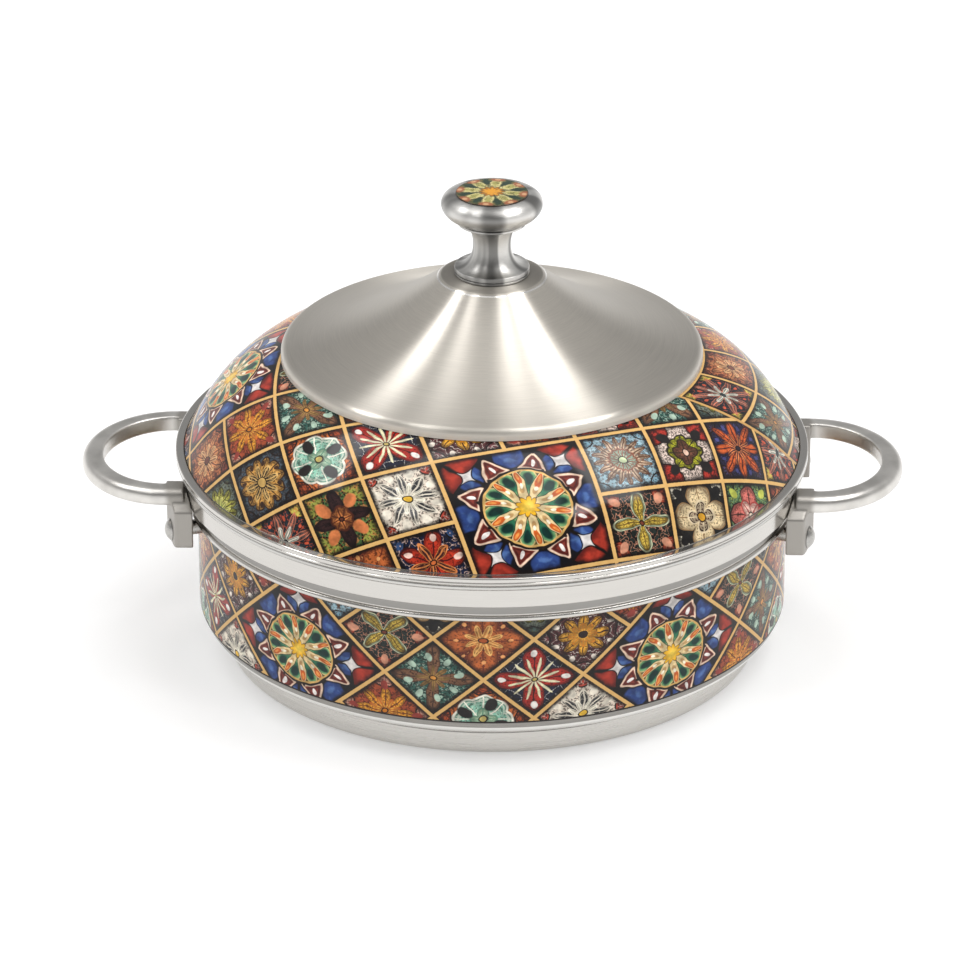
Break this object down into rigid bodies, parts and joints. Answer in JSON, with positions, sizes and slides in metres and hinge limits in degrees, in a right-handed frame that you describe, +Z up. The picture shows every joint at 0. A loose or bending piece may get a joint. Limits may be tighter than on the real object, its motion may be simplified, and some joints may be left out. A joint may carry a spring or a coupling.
{
  "type": "insulated serving casserole",
  "caption": "Round double-walled steel casserole for flat breads, with side handles and a domed lift-off lid with a central knob; printed tile film on wall and lid.",
  "frame": {"origin": "centre of the base, at table level", "axes": "+Z up, through the knob; +X through the two handles; -Y towards the viewer of the front"},
  "size_m": [0.3508, 0.27, 0.2054],
  "materials": {
    "base_steel": "satin stainless steel, pressed",
    "plug_rubber": "moulded rubber",
    "wall_steel": "satin stainless steel",
    "printed_film": "printed tile pattern under a clear gloss coat",
    "collar_steel": "polished stainless steel",
    "bowl_steel": "polished stainless steel",
    "foam": "rigid insulating foam",
    "handle_metal": "satin cast metal",
    "rivet_metal": "clinched rivets",
    "burr_steel": "plain steel",
    "rim_steel": "polished stainless steel, rolled",
    "dome_steel": "satin stainless steel",
    "liner_steel": "polished stainless steel",
    "crown_steel": "satin stainless steel, brushed round and round",
    "knob_steel": "turned and polished",
    "fixing_steel": "plated steel"
  },
  "bodies": {
    "pot": {"base_pan": "base_steel", "fill_plug": "plug_rubber", "outer_wall": "wall_steel", "wall_film": "printed_film", "collar_band": "collar_steel", "inner_bowl": "bowl_steel", "pot_foam": "foam", "handle_left": "handle_metal", "handle_right": "handle_metal", "handle_rivets_left": "rivet_metal", "handle_rivets_right": "rivet_metal", "rivet_spacers_left": "rivet_metal", "rivet_spacers_right": "rivet_metal", "rivet_burrs_left": "burr_steel", "rivet_burrs_right": "burr_steel"},
    "lid": {"lid_rim_ring": "rim_steel", "lid_dome": "dome_steel", "lid_film": "printed_film", "lid_liner": "liner_steel", "lid_foam": "foam", "crown": "crown_steel", "knob": "knob_steel", "knob_inlay": "printed_film", "knob_stud": "fixing_steel", "knob_washer": "fixing_steel", "knob_nut": "fixing_steel"}
  },
  "joints": [
    {"name": "lid_lift", "type": "slide", "parent": "pot", "child": "lid", "axis": [0, 0, 1], "range_m": [0, 0.15]}
  ]
}
